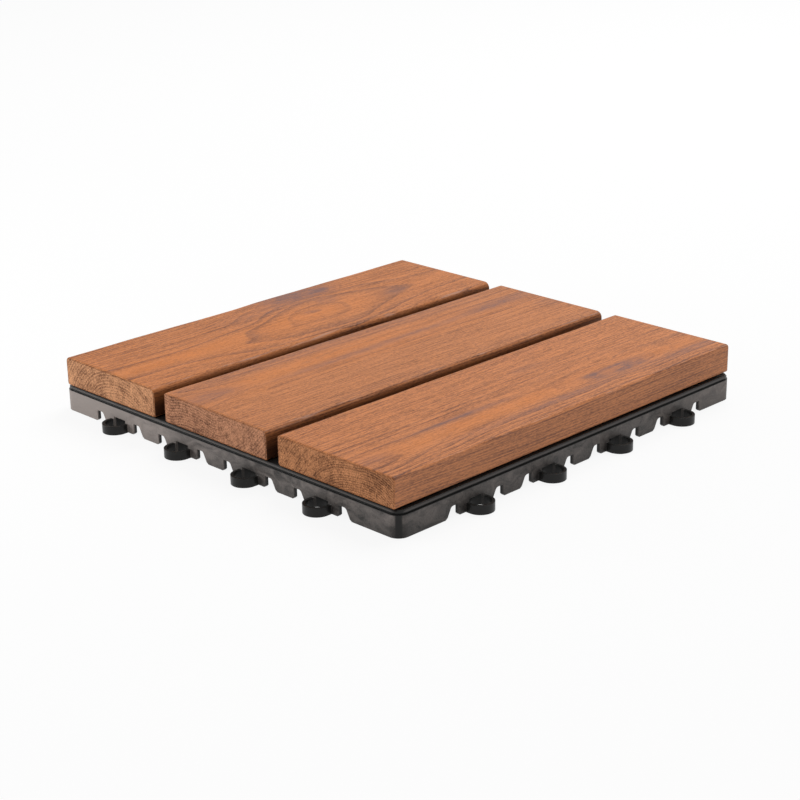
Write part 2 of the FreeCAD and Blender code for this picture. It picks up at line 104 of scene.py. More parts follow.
class Field:
    """A number that varies over a surface, so that formulas read as formulas."""

    def __init__(self, paper, socket):
        self.paper = paper
        self.socket = socket

    def work(self, operation, *others):
        return self.paper.math(operation, self, *others)

    def __add__(self, other):
        return self.work("ADD", other)

    __radd__ = __add__

    def __sub__(self, other):
        return self.work("SUBTRACT", other)

    def __rsub__(self, other):
        return self.paper.math("SUBTRACT", other, self)

    def __mul__(self, other):
        return self.work("MULTIPLY", other)

    __rmul__ = __mul__

    def __truediv__(self, other):
        return self.work("DIVIDE", other)


class Paper:
    """The node tree of one material, with short calls for what this script needs."""

    def __init__(self, name):
        self.material = bpy.data.materials.new(name)
        self.material.use_nodes = True
        self.tree = self.material.node_tree
        self.tree.nodes.clear()

    def node(self, kind, **settings):
        made = self.tree.nodes.new(kind)
        for key, value in settings.items():
            setattr(made, key, value)
        return made

    def put(self, socket, value):
        """Feed a socket with a field, another socket or a plain value."""
        if isinstance(value, Field):
            self.tree.links.new(value.socket, socket)
        elif isinstance(value, bpy.types.NodeSocket):
            self.tree.links.new(value, socket)
        else:
            socket.default_value = value

    def math(self, operation, *inputs):
        made = self.node("ShaderNodeMath", operation=operation)
        for socket, value in zip(made.inputs, inputs):
            self.put(socket, value)
        return Field(self, made.outputs[0])

    def place(self):
        """The point on the tile in millimetres, as three fields."""
        here = self.node("ShaderNodeTexCoord").outputs["Object"]
        return [part / MM for part in self.split(here)]

    def split(self, vector):
        """The three parts of a vector, as fields."""
        made = self.node("ShaderNodeSeparateXYZ")
        self.put(made.inputs[0], vector)
        return [Field(self, part) for part in made.outputs]

    def vector(self, x, y, z):
        made = self.node("ShaderNodeCombineXYZ")
        for socket, value in zip(made.inputs, (x, y, z)):
            self.put(socket, value)
        return made.outputs[0]

    def noise(self, x, y, z, detail=2.0, roughness=0.5, distortion=0.0):
        """Smooth noise about 0, within roughly -0.5 to 0.5."""
        made = self.node("ShaderNodeTexNoise", noise_dimensions="3D")
        self.put(made.inputs["Vector"], self.vector(x, y, z))
        made.inputs["Scale"].default_value = 1.0
        made.inputs["Detail"].default_value = detail
        made.inputs["Roughness"].default_value = roughness
        made.inputs["Distortion"].default_value = distortion
        return Field(self, made.outputs[0]) - NOISE_MIDDLE

    def chance(self, value):
        """One random number for each whole number."""
        made = self.node("ShaderNodeTexWhiteNoise", noise_dimensions="1D")
        self.put(made.inputs["W"], value)
        return Field(self, made.outputs["Value"])

    def step(self, value, low, high):
        """0 below low, 1 above high, and smooth between them."""
        made = self.node("ShaderNodeMapRange", interpolation_type="SMOOTHSTEP")
        self.put(made.inputs["Value"], value)
        self.put(made.inputs["From Min"], low)
        self.put(made.inputs["From Max"], high)
        return Field(self, made.outputs[0])

    def hill(self, u, v, middle_u, middle_v, reach_u, reach_v):
        """A rounded hill of height 1 about a point of a board's top."""
        across = (u - middle_u) / reach_u
        along = (v - middle_v) / reach_v
        return self.math("EXPONENT", 0 - (across * across + along * along))

    def sum_of_hills(self, u, v, hills):
        total = 0.0
        for middle_u, middle_v, reach_u, reach_v, height in hills:
            total = self.hill(u, v, middle_u, middle_v, reach_u, reach_v) * height + total
        return total

    def clamp(self, value):
        return self.math("MAXIMUM", self.math("MINIMUM", value, 1.0), 0.0)

    def mix(self, amount, first, second):
        made = self.node("ShaderNodeMix", data_type="RGBA")
        self.put(made.inputs["Factor"], amount)
        self.put(made.inputs[MIX_FIRST], first)
        self.put(made.inputs[MIX_SECOND], second)
        return made.outputs[MIX_COLOUR]

    def surface(self, colour, roughness, height, edge=None, **constants):
        """End the tree in a Principled shader, with its relief from a height in millimetres."""
        shader = self.node("ShaderNodeBsdfPrincipled")
        self.put(shader.inputs["Base Color"], colour)
        self.put(shader.inputs["Roughness"], roughness)
        for key, value in constants.items():
            shader.inputs[key.replace("_", " ")].default_value = value
        normal = None
        if edge:
            bevel = self.node("ShaderNodeBevel", samples=BEVEL_SAMPLES)
            bevel.inputs["Radius"].default_value = edge * MM
            normal = bevel.outputs[0]
        bump = self.node("ShaderNodeBump")
        bump.inputs["Distance"].default_value = MM
        self.put(bump.inputs["Height"], height)
        if normal:
            self.put(bump.inputs["Normal"], normal)
        self.put(shader.inputs["Normal"], bump.outputs[0])
        output = self.node("ShaderNodeOutputMaterial")
        self.tree.links.new(shader.outputs[0], output.inputs[0])
        return self.material


# Each board: the radii of its upper arrises; where the pith of its tree lay, as u and
# w; how far the rings flatten above it; the distance between rings, and from the pith
# to one of them; and what shows on its top. Bumps lift the rings towards the surface,
# which opens them into eyes and flames: middle u and v, reach u and v, height. Strong
# rings, grey-purple stains and orange glows lie about a middle u and v in the same way.
# Painted shade darkens the foot of the left and the right side, most in the gaps, and painted
# light makes a board's right side paler. Wane is a hollow in the left arris: its first v, its last v and
# its depth.
BOARDS = {
    "left_board": {
        "arrises": (3.2, 4.5),
        "pith": (52.0, -19.0),
        "flattening": 4.0,
        "gap_shade": (0.1, 0.95),
        "ring": 1.9,
        "first_ring": 38.8,
        "bumps": [
            (14, 30, 24, 60, 8.9), (86, 15, 36, 110, 5.4), (5, 10, 8, 20, 7.0),
            (86, -55, 11, 75, 4.2), (43, -90, 24, 60, -1.5), (59, 84, 14, 36, -1.3),
            (17, 102, 14, 36, 4.2), (48, 20, 8, 20, 1.9), (86, 40, 10, 50, 3.0),
            (14, -20, 8, 20, 2.3), (34, -30, 8, 20, -1.1), (58, -40, 8, 20, -0.9),
        ],
        "strong": [
            (48, 10, 20, 60, 0.5), (40, -95, 7, 60, 0.5), (62, -115, 5, 50, 0.4),
            (64, 110, 20, 40, -0.4), (20, 110, 20, 50, -0.3), (90, -90, 7, 70, -1.2),
        ],
        "stains": [
            (10, 32, 12, 27, 1.7), (13, 56, 6, 9, 1.4), (46, 18, 3, 7, 0.9),
            (53, 92, 6, 11, 0.9), (34, 44, 6, 10, 0.8), (24, -10, 8, 30, 0.5),
        ],
        "glows": [(54, -100, 9, 55, 1.2), (52, 10, 12, 45, 1.0), (72, -60, 6, 40, 0.6)],
        "wane": [(-64, 6, 0.45)],
        "light": (202, 126, 72),
        "dark": (104, 58, 34),
        "end_light": (222, 162, 118),
        "end_dark": (106, 66, 44),
    },
    "middle_board": {
        "arrises": (2.0, 4.2),
        "pith": (28.0, 56.0),
        "flattening": 8.0,
        "gap_shade": (0.9, 0.95),
        "ring": 1.7,
        "first_ring": 38.9,
        "bumps": [
            (25, -138, 13, 54, -5.0), (0, -132, 14, 36, 2.2), (0, 15, 36, 110, -1.3),
            (53, -130, 14, 36, 1.2), (38, -150, 8, 20, -1.6), (14, -150, 8, 20, -2.0),
            (14, 150, 24, 60, -0.9),
        ],
        "strong": [
            (26, -130, 14, 28, 0.6), (10, 0, 7, 300, 0.8), (42, 0, 5, 300, 0.5),
            (75, 40, 22, 300, -0.6), (30, -84, 10, 24, -0.9),
        ],
        "stains": [
            (25, -136, 7, 22, 1.1), (33, -40, 3, 50, 1.0), (30, 40, 3, 60, 0.9),
            (27, 120, 6, 34, 1.1), (4, -20, 9, 150, 0.6), (50, 145, 8, 10, 0.5),
        ],
        "glows": [(22, -40, 9, 130, 1.2), (38, 0, 6, 120, 0.8)],
        "light": (200, 127, 76),
        "dark": (104, 60, 38),
        "end_light": (208, 148, 112),
        "end_dark": (94, 58, 41),
    },
    "right_board": {
        "arrises": (2.4, 2.0),
        "pith": (64.0, -25.0),
        "flattening": 6.0,
        "gap_shade": (0.9, 0.0),
        "lit_side": 0.3,
        "ring": 1.4,
        "first_ring": 44.8,
        "bumps": [
            (67, 66, 14, 36, 3.4), (86, -150, 24, 60, 3.0), (86, -30, 24, 60, -1.0),
            (72, 100, 8, 20, 0.8), (43, -30, 24, 60, 0.8), (42, 138, 14, 36, 1.3),
            (58, 70, 8, 20, -2.0), (82, 50, 8, 20, -1.4), (58, 40, 8, 20, -0.6),
            (42, 66, 14, 36, 1.0),
        ],
        "strong": [
            (52, -110, 7, 70, 0.7), (50, 40, 5, 160, 0.5), (82, 0, 6, 300, 0.9),
            (18, 40, 24, 300, -0.5), (66, 66, 10, 40, -0.5), (66, -60, 7, 60, -0.4),
        ],
        "stains": [
            (69, 46, 4.5, 9, 1.5), (70, 76, 5, 15, 1.6), (65, 62, 1.8, 26, 1.0),
            (74, 62, 1.8, 24, 1.0), (56, -60, 2.5, 38, 1.3),
            (79, 0, 3, 80, 0.9), (80, 130, 4, 30, 1.0), (66, -140, 5, 14, 0.8),
            (28, 30, 5, 14, 0.4),
        ],
        "glows": [(66, -40, 8, 110, 1.1), (69, 62, 4, 14, 0.7), (70, 125, 7, 30, 0.6)],
        "light": (205, 129, 76),
        "dark": (104, 58, 36),
        "end_light": (212, 146, 100),
        "end_dark": (92, 54, 32),
    },
}
LOWER_ARRIS = 1.6
END_BEVEL = 0.8

# Slow bends of the rings, and smaller ripples: over which length they change, and how far
BEND_ALONG = 120
BEND_UP = 60
BEND = 3
RIPPLE_ACROSS = 14
RIPPLE_ALONG = 60
RIPPLE = 0.9
# Keeps the count of rings above 0
RINGS_BEFORE = 40
# Within a ring, from 0 to 1: where the late wood begins and is full. Cut steeply it is one
# wide band; cut flat it is a haze with a thin line in it.
WIDE_BAND = (0.1, 0.8)
HAZE = (0.3, 0.9)
HAZE_SHARE = 0.4
THIN_LINE = (0.7, 0.92)
RING_END = (0.92, 1.0)
# How dark a ring's late wood is: at least, by chance, and where rings are strong
LEAST_LATE = 0.25
CHANCE_LATE = 0.65
STRONG_LATE = 0.6

# Noises of the wood: waves per millimetre across and along the board, detail, roughness
GRAIN = {
    "fibres": (1.4, 1 / 40, 3.0, 0.8),
    "pores": (1.6, 1 / 3, 2.0, 0.8),
    "blotches": (1 / 18, 1 / 60, 3.0, 0.6),
    "mottle": (1 / 4, 1 / 7, 4.0, 0.75),
    "dots": (1.1, 0.1, 3.0, 0.85),
}
STREAKS_ACROSS = 0.9
STREAKS_ALONG = 90
STREAK_ROUGHNESS = 0.65
# How much each of them darkens the faces and the ends
FACE_DARKNESS = 0.23
FACE_WEIGHTS = {"late": 0.6, "fibres": 2.5, "pores": 2.1, "streaks": 0.45, "blotches": 0.3}
END_DARKNESS = 0.3
END_WEIGHTS = {"late": 0.45, "dots": 3.4, "mottle": 1.8, "blotches": 0.9}

# The painted shade at the sides' foot is full below the first height and gone at the second
GAP_SHADE_HEIGHTS = (5.0, 25.0)
# Painted highlights along the arrises: their length, which part of the noise shows, how strong
HIGHLIGHT_LENGTH = 22
HIGHLIGHT_PATCHES = (-0.02, 0.2)
PAINTED_LIGHT_STRENGTH = 0.6
# Glows and stains: how strong, and above which height they show
GLOW = 0.5
STAIN = 0.7
TOP_HEIGHTS = (6.0, 17.0)
# Turned this far away from its axis, a surface is part of a side, an arris or an end
SIDE_TURN = (0.6, 0.95)
ARRIS_TURN = (0.25, 0.6)
END_TURN = (0.6, 0.85)

# Glows and stains are broken up by mottle and fibres
GLOW_WEIGHTS = {"mottle": 2.4, "fibres": 1.6}
GLOW_START = 0.75
# How rough the wood is, and what late wood, fibres and the ends add to it
WOOD_ROUGHNESS = 0.55
LATE_ROUGHNESS = -0.08
FIBRE_ROUGHNESS = 0.2
END_ROUGHNESS = 0.2
WOOD_SHEEN = 0.15
# Relief in millimetres: late wood, fibres and the ends' dots
LATE_RELIEF = 0.05
FIBRE_RELIEF = 0.1
DOT_RELIEF = 0.5


def wood(name, facts, corner):
    """Planed softwood cut from a tree whose rings run through the whole board."""
    paper = Paper(f"{name}_wood")
    x, v, z = paper.place()
    u = x - corner[0] / MM
    w = z - corner[2] / MM
    offset = SEED + corner[0] / MM

    # Distance from the pith, bent by slow noise and lifted at the eyes
    pith_u, pith_w = facts["pith"]
    bend = paper.noise(v / BEND_ALONG, offset, w / BEND_UP) * BEND
    across = paper.math("ABSOLUTE", u - pith_u + bend)
    across = across * across / (across + facts["flattening"])
    height = w - pith_w
    radius = paper.math("SQRT", across * across + height * height)

    # How steeply the surface cuts the rings: 0 where it runs along them
    normal = paper.node("ShaderNodeNewGeometry").outputs["Normal"]
    normal_u, normal_v, normal_w = paper.split(normal)
    facing = (across * paper.math("ABSOLUTE", normal_u) + height * normal_w) / radius
    steep = paper.math("SQRT", paper.clamp(1 - facing * facing))
    ripple = paper.noise(u / RIPPLE_ACROSS, v / RIPPLE_ALONG, w / RIPPLE_ACROSS + offset, detail=1.0)
    radius = radius + ripple * RIPPLE
    for middle_u, middle_v, reach_u, reach_v, amount in facts["bumps"]:
        radius = radius - paper.hill(u, v, middle_u, middle_v, reach_u, reach_v) * amount

    # Rings: pale early wood darkens slowly into late wood, then starts again
    turns = (radius - facts["first_ring"]) / facts["ring"] + RINGS_BEFORE
    share = paper.math("FRACT", turns)
    wide = paper.step(share, *WIDE_BAND)
    thin = paper.step(share, *HAZE) * HAZE_SHARE + paper.step(share, *THIN_LINE) * (1 - HAZE_SHARE)
    late = (wide * steep + thin * (1 - steep)) * (1 - paper.step(share, *RING_END))
    kind = paper.chance(paper.math("FLOOR", turns) + facts["ring"])
    strong = paper.sum_of_hills(u, v, facts["strong"])
    late = late * paper.clamp(LEAST_LATE + kind * CHANCE_LATE + strong * STRONG_LATE)

    # Fibres run along the board, follow the rings, and show as dots on its ends
    grain = {"late": late}
    for key, (rate_across, rate_along, detail, rough) in GRAIN.items():
        grain[key] = paper.noise(
            u * rate_across, v * rate_along, w * rate_across + offset, detail, rough
        )
    grain["streaks"] = paper.noise(
        radius * STREAKS_ACROSS, v / STREAKS_ALONG, offset, 3.0, STREAK_ROUGHNESS
    )

    def weigh(start, weights):
        total = start
        for key, weight in weights.items():
            total = grain[key] * weight + total
        return total

    def tone(start, weights, light, dark):
        darkness = paper.clamp(weigh(start, weights))
        return paper.mix(darkness, paint(*facts[light]), paint(*facts[dark]))

    colour = tone(FACE_DARKNESS, FACE_WEIGHTS, "light", "dark")

    # Painted shade darkens the sides towards the gaps' bottoms, and painted highlights make the arrises
    # pale in places
    left_side = paper.step(0 - normal_u, *SIDE_TURN)
    right_side = paper.step(normal_u, *SIDE_TURN)
    gap_shade = left_side * facts["gap_shade"][0] + right_side * facts["gap_shade"][1]
    colour = paper.mix(gap_shade * (1 - paper.step(w, *GAP_SHADE_HEIGHTS)), colour, paint(*GAP_SHADE))
    # Painted highlight: the arrises are painted paler in patches, and painted light makes the right
    # board's right side paler
    painted_light = paper.step(normal_u, *ARRIS_TURN) * (1 - right_side)
    painted_light = painted_light * paper.step(paper.noise(v / HIGHLIGHT_LENGTH, offset, w, detail=3.0), *HIGHLIGHT_PATCHES)
    painted_light = painted_light + right_side * facts.get("lit_side", 0.0)
    colour = paper.mix(painted_light * PAINTED_LIGHT_STRENGTH, colour, paint(*PAINTED_LIGHT))

    # Orange glows and grey-purple stains near the knots, both broken up along the grain
    top = paper.step(w, *TOP_HEIGHTS)
    broken = weigh(GLOW_START, GLOW_WEIGHTS)
    for strength, tint, group in ((GLOW, ORANGE, "glows"), (STAIN, PURPLE, "stains")):
        amount = paper.sum_of_hills(u, v, facts[group]) * broken
        colour = paper.mix(paper.clamp(amount * top * strength), colour, paint(*tint))

    on_end = paper.step(paper.math("ABSOLUTE", normal_v), *END_TURN)
    colour = paper.mix(on_end, colour, tone(END_DARKNESS, END_WEIGHTS, "end_light", "end_dark"))
    roughness = WOOD_ROUGHNESS + late * LATE_ROUGHNESS
    roughness = roughness + grain["fibres"] * FIBRE_ROUGHNESS + on_end * END_ROUGHNESS
    relief = late * LATE_RELIEF + grain["fibres"] * FIBRE_RELIEF
    relief = relief + on_end * grain["dots"] * DOT_RELIEF
    return paper.surface(colour, roughness, relief, Specular_IOR_Level=WOOD_SHEEN)


# Plastic: the size of its flow marks, the grit's waves per millimetre, and the dust of each
FLOW_LENGTH = 11
FLOW_HEIGHT = 7
FLOW_SWIRL = 1.2
GRIT_RATE = 1.1
DUST = 0.5
FLOW_DUST = 1.8
GRIT_DUST = 0.9
# Where the skirt's face fades in, out of the wall, and out again, into the loops
FACE_INNER = (SKIRT_FACE - 1.2, SKIRT_FACE - 0.6)
FACE_OUTER = (SKIRT_FACE + 0.3, SKIRT_FACE + 0.8)
BELOW_GROOVE = (SKIRT_TOP - 0.5, SKIRT_TOP)
GROOVE_EDGE = 0.2
LIP_EDGE = 0.3
# How light the front and the right side are painted, with dust and painted light together,
# and the painted light at the front's left end and the right's back
FRONT_DUST_AND_LIGHT = 0.68
SIDE_DUST_AND_LIGHT = 0.52
LEFT_END_LIGHT = 0.9
BACK_END_LIGHT = 0.22
# Painted highlight on the lip above the rim's groove
LIP_HIGHLIGHT = 0.2
# Where the painted light of those two ends begins and is full, along the side and up to its wall
LEFT_END = (40.0, -SKIRT_FACE)
BACK_END = (60.0, SKIRT_FACE)
FRONT_WALL = (-140.0, -SKIRT_FACE)
RIGHT_WALL = (140.0, SKIRT_FACE)
# The skirt is darker towards its foot, up to this height
FOOT_HEIGHT = 8.0
FOOT_SHARE = 0.55
# The shade about a loop: its reach, its depth, and the heights where it fades
SHADE_REACH = 9
SHADE = 0.75
SHADE_HEIGHTS = (4.0, 12.0)
PLASTIC_ROUGHNESS = 0.36
FLOW_ROUGHNESS = 0.2
DUST_ROUGHNESS = 0.3
GRIT_RELIEF = 0.05
FLOW_RELIEF = 0.1
PLASTIC_SHEEN = 0.25
PLASTIC_EDGE = 0.3


def plastic():
    """Black moulded plastic: clean and dark, but dull and dusty on the skirt's outside, with painted
    light and shade there: lighter at the front and the far ends, a painted highlight on the lip,
    and painted shade about the loops and in the rim's groove.
    """
    paper = Paper("black_moulded_plastic")
    x, y, z = paper.place()
    flow = paper.noise(
        x / FLOW_LENGTH, y / FLOW_LENGTH, z / FLOW_HEIGHT,
        detail=4.0, roughness=0.6, distortion=FLOW_SWIRL,
    )
    grit = paper.noise(x * GRIT_RATE, y * GRIT_RATE, z * GRIT_RATE, detail=3.0, roughness=0.75)

    # The skirt is the wall below the rim's groove; the loops stand out of it
    side = paper.math("ABSOLUTE", x)
    front = paper.math("ABSOLUTE", y)
    reach = paper.math("MAXIMUM", side, front)
    below = 1 - paper.step(z, *BELOW_GROOVE)
    outside = paper.step(reach, *FACE_INNER)
    skirt = outside * (1 - paper.step(reach, *FACE_OUTER)) * below
    foot = FOOT_SHARE + paper.step(z, 0.0, FOOT_HEIGHT) * (1 - FOOT_SHARE)
    skirt_dust_and_light = paper.clamp(DUST + flow * FLOW_DUST + grit * GRIT_DUST) * skirt * foot

    # Painted shade darkens the skirt about the loops, painted light brightens the far ends of
    # both visible sides, and the front is painted lighter than the right side
    on_side = paper.step(side - front, -1.0, 1.0)
    along = (0 - y) * on_side + x * (1 - on_side)
    from_loop = paper.math("FRACT", (along - FIRST_LOOP) / LOOP_PITCH + 0.5) - 0.5
    from_loop = from_loop * LOOP_PITCH / SHADE_REACH
    shaded = paper.math("EXPONENT", 0 - from_loop * from_loop)
    shaded = shaded * (1 - paper.step(z, *SHADE_HEIGHTS))
    skirt_dust_and_light = skirt_dust_and_light * (1 - shaded * SHADE) * (FRONT_DUST_AND_LIGHT - on_side * (FRONT_DUST_AND_LIGHT - SIDE_DUST_AND_LIGHT))
    # Painted light at the front's left end and at the right side's back end
    left_end = paper.step(x, *LEFT_END) * paper.step(y, *FRONT_WALL)
    back_end = paper.step(y, *BACK_END) * paper.step(x, *RIGHT_WALL)
    skirt_dust_and_light = skirt_dust_and_light + (left_end * LEFT_END_LIGHT + back_end * BACK_END_LIGHT) * skirt

    # Painted highlight: the lip's outer face is painted lighter
    lip = paper.step(z, LIP_FOOT, LIP_FOOT + LIP_EDGE)
    lip = lip * (1 - paper.step(z, LIP_TOP, LIP_TOP + LIP_EDGE))
    dust_and_painted_light = paper.clamp(skirt_dust_and_light + lip * outside * LIP_HIGHLIGHT)
    colour = paper.mix(dust_and_painted_light, paint(*CLEAN_PLASTIC), paint(*DUST_AND_LIGHT_PLASTIC))
    # Painted shade: the rim's groove is painted near black
    groove_shade = paper.step(z, SKIRT_TOP, SKIRT_TOP + GROOVE_EDGE)
    groove_shade = groove_shade * (1 - paper.step(z, LIP_FOOT - GROOVE_EDGE, LIP_FOOT))
    colour = paper.mix(groove_shade, colour, paint(*GROOVE_SHADE))
    roughness = PLASTIC_ROUGHNESS + flow * FLOW_ROUGHNESS + skirt_dust_and_light * DUST_ROUGHNESS
    relief = grit * GRIT_RELIEF + flow * FLOW_RELIEF
    return paper.surface(
        colour, roughness, relief, edge=PLASTIC_EDGE, Specular_IOR_Level=PLASTIC_SHEEN
    )


# Zinc: the size of its cast's patches, its turning marks, and the smears in its gloss
CAST_LENGTH = 3
CAST_PATCHES = (-0.25, 0.25)
MARK_RATE = 9
MARK_RELIEF = 0.02
ZINC_ROUGHNESS = 0.32
SMEAR_RATE = 4
SMEAR_ROUGHNESS = 0.2
ZINC_EDGE = 0.15


def zinc():
    """Zinc plating: pale steel with a faint yellow and blue cast, and fine turning marks."""
    paper = Paper("zinc_plated_steel")
    x, y, z = paper.place()
    cast = paper.noise(x / CAST_LENGTH, y / CAST_LENGTH, z / CAST_LENGTH)
    cast = paper.step(cast, *CAST_PATCHES)
    colour = paper.mix(cast, paint(*YELLOW_ZINC), paint(*BLUE_ZINC))
    marks = paper.math("SINE", z * MARK_RATE)
    roughness = ZINC_ROUGHNESS + paper.noise(x, y, z * SMEAR_RATE) * SMEAR_ROUGHNESS
    return paper.surface(colour, roughness, marks * MARK_RELIEF, edge=ZINC_EDGE, Metallic=1.0)


def section(width, height, inset, arrises, lower, flat_steps, side_steps, arc_steps):
    """A rounded board section as four runs of points that meet in the middle of its corners."""
    left_round, right_round = arrises
    quarter = math.pi / 2
    corners = [
        ("bottom", inset + lower, inset + lower, lower, math.pi),
        ("right", width - inset - lower, inset + lower, lower, math.pi + quarter),
        ("top", width - inset - right_round, height - inset - right_round, right_round, 0.0),
        ("left", inset + left_round, height - inset - left_round, left_round, quarter),
    ]
    steps = {"bottom": flat_steps, "right": side_steps, "top": flat_steps, "left": side_steps}
    runs = {}
    for index, (side, cu, cw, radius, start) in enumerate(corners):
        _, nu, nw, next_radius, next_start = corners[(index + 1) % len(corners)]
        run = []
        for k in range(arc_steps + 1):
            angle = start + quarter * (0.5 + 0.5 * k / arc_steps)
            run.append((cu + radius * math.cos(angle), cw + radius * math.sin(angle)))
        straight = [(nu + next_radius * math.cos(next_start), nw + next_radius * math.sin(next_start))]
        for k in range(1, arc_steps + 1):
            angle = next_start + quarter * 0.5 * k / arc_steps
            straight.append((nu + next_radius * math.cos(angle), nw + next_radius * math.sin(angle)))
        first, last = np.array(run[-1]), np.array(straight[0])
        for k in range(1, steps[side]):
            run.append(tuple(first + (last - first) * k / steps[side]))
        runs[side] = np.array(run + straight)
    return runs


def patch(runs):
    """A grid of points that fills a section: rows go up, columns go from left to right."""
    bottom, right, top, left = runs["bottom"], runs["right"], runs["top"][::-1], runs["left"][::-1]
    s = np.linspace(0, 1, len(bottom))[None, :, None]
    t = np.linspace(0, 1, len(left))[:, None, None]
    along = (1 - t) * bottom[None] + t * top[None]
    up = (1 - s) * left[:, None] + s * right[:, None]
    corners = (
        (1 - s) * (1 - t) * bottom[0] + s * (1 - t) * bottom[-1] + (1 - s) * t * top[0] + s * t * top[-1]
    )
    return along + up - corners


# The boards' mesh: steps across, up and round a corner, and stations along the board
FLAT_STEPS = 60
SIDE_STEPS = 10
ARC_STEPS = 5
STATIONS = 190
# How the ends' edges are broken: distance from the end, and how far the section draws in
END_STEPS = [(0.0, END_BEVEL), (0.12, 0.45), (0.4, 0.15), (END_BEVEL, 0.0), (1.8, 0.0)]
END_ZONE = 3.5
LEAST_ROUND = 0.3
# Wear in millimetres: waves of the planed top, and the saw's trace on the ends
WAVE = 0.12
WAVE_FADE = 6
WAVE_LENGTHS = (31, 13)
WAVE_SLANT = 40
SAW_TRACE = 0.12
END_SKIN = 0.3
WANE_RUN_OUT = 20
WANE_WIDTH = 6
WANE_SLANT = 0.6


def build_board(name, facts):
    """A board as a fine mesh: its section carried along the tile, closed by worn ends."""
    low, high = (np.array(corner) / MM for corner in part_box(name))
    width, height = high[0] - low[0], high[2] - low[2]
    dice = np.random.default_rng(SEED + len(name))

    def runs_at(inset):
        arrises = [max(radius - inset, LEAST_ROUND) for radius in facts["arrises"]]
        lower = max(LOWER_ARRIS - inset, LEAST_ROUND)
        return section(width, height, inset, arrises, lower, FLAT_STEPS, SIDE_STEPS, ARC_STEPS)

    half = (high[1] - low[1]) / 2
    middle = (high[1] + low[1]) / 2
    stations = [(-half + back, inset) for back, inset in END_STEPS]
    stations += [(v, 0.0) for v in np.linspace(-half + END_ZONE, half - END_ZONE, STATIONS)]
    stations += [(half - back, inset) for back, inset in reversed(END_STEPS)]

    loops = []
    for v, inset in stations:
        runs = runs_at(inset)
        loop = np.concatenate([runs[side][:-1] for side in ("bottom", "right", "top", "left")])
        loops.append(np.column_stack([loop[:, 0], np.full(len(loop), v), loop[:, 1]]))
    count = len(loops[0])
    points = np.concatenate(loops)
    faces = []
    for row in range(len(loops) - 1):
        for k in range(count):
            follower = (k + 1) % count
            faces.append((
                row * count + k, row * count + follower,
                (row + 1) * count + follower, (row + 1) * count + k,
            ))

    # Ends: a grid inside the first and last loop, sharing that loop's points
    for end, v in ((0, stations[0][0]), (len(loops) - 1, stations[-1][0])):
        grid = patch(runs_at(stations[end][1]))
        rows, columns = grid.shape[:2]
        ids = np.full((rows, columns), -1)
        border = [(0, c) for c in range(columns - 1)]
        border += [(r, columns - 1) for r in range(rows - 1)]
        border += [(rows - 1, c) for c in range(columns - 1, 0, -1)]
        border += [(r, 0) for r in range(rows - 1, 0, -1)]
        for k, (r, c) in enumerate(border):
            ids[r, c] = end * count + k
        fresh = []
        for r in range(1, rows - 1):
            for c in range(1, columns - 1):
                ids[r, c] = len(points) + len(fresh)
                fresh.append((grid[r, c, 0], v, grid[r, c, 1]))
        points = np.concatenate([points, np.array(fresh)])
        for r in range(rows - 1):
            for c in range(columns - 1):
                corner = (ids[r, c], ids[r, c + 1], ids[r + 1, c + 1], ids[r + 1, c])
                faces.append(corner if end == 0 else corner[::-1])

    # Wear, only ever inwards: a saw's trace on the ends and slow waves in the planed faces
    u, v, w = points.T
    long_wave, short_wave = WAVE_LENGTHS
    wave = WAVE * (1 + np.sin(v / long_wave + low[0]) * np.sin(v / short_wave + u / WAVE_SLANT))
    on_top = np.clip((w - height + WAVE_FADE) / WAVE_FADE, 0, 1)
    points[:, 2] -= wave * on_top
    ends = np.abs(v) > half - END_SKIN
    points[ends, 1] -= np.sign(v[ends]) * dice.uniform(0, SAW_TRACE, ends.sum())
    for start, stop, depth in facts.get("wane", []):
        along = np.clip((v - start) / WANE_RUN_OUT, 0, 1) * np.clip((stop - v) / WANE_RUN_OUT, 0, 1)
        near = np.clip(1 - u / WANE_WIDTH, 0, 1) * on_top
        points[:, 2] -= depth * along * near
        points[:, 0] += WANE_SLANT * depth * along * near

    points[:, 0] += low[0]
    points[:, 1] += middle
    points[:, 2] += low[2]
    mesh = bpy.data.meshes.new(f"{name}_planed")
    mesh.from_pydata([tuple(p) for p in points * MM], [], faces)
    mesh.validate()
    piece = bpy.data.objects.new(f"{name}_planed", mesh)
    bpy.context.scene.collection.objects.link(piece)
    for polygon in mesh.polygons:
        polygon.use_smooth = True
    mesh.materials.append(wood(name, facts, low * MM))
    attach(piece, "root")
    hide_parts(name)


def dress_node(name, material):
    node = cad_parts[name]
    node.data.materials.clear()
    node.data.materials.append(material)


FLOOR_SIDE = 6
FLOOR_WHITE = (0.9, 0.9, 0.9, 1)
WHITE = (1, 1, 1, 1)
# How much of the seen floor glows, so that it reads as white
FLOOR_GLOW = 0.88
SKY_LIGHT = 0.52
SKY_SEEN = 1.0


def white_floor():
    """A white floor that reads as the white background, and still takes the tile's shadow."""
    bpy.ops.mesh.primitive_plane_add(size=FLOOR_SIDE, location=(0, 0, 0))
    floor = bpy.context.object
    floor.name = "floor"
    paper = Paper("white_floor")
    ray = paper.node("ShaderNodeLightPath")
    seen = paper.math("MAXIMUM", ray.outputs["Is Camera Ray"], ray.outputs["Is Glossy Ray"])
    seen = paper.math("MAXIMUM", seen, ray.outputs["Is Transmission Ray"])
    diffuse = paper.node("ShaderNodeBsdfDiffuse")
    diffuse.inputs["Color"].default_value = FLOOR_WHITE
    glow = paper.node("ShaderNodeEmission")
    glow.inputs["Color"].default_value = WHITE
    mixed = paper.node("ShaderNodeMixShader")
    paper.put(mixed.inputs[0], seen * FLOOR_GLOW)
    paper.put(mixed.inputs[1], diffuse.outputs[0])
    paper.put(mixed.inputs[2], glow.outputs[0])
    output = paper.node("ShaderNodeOutputMaterial")
    paper.put(output.inputs[0], mixed.outputs[0])
    floor.data.materials.append(paper.material)


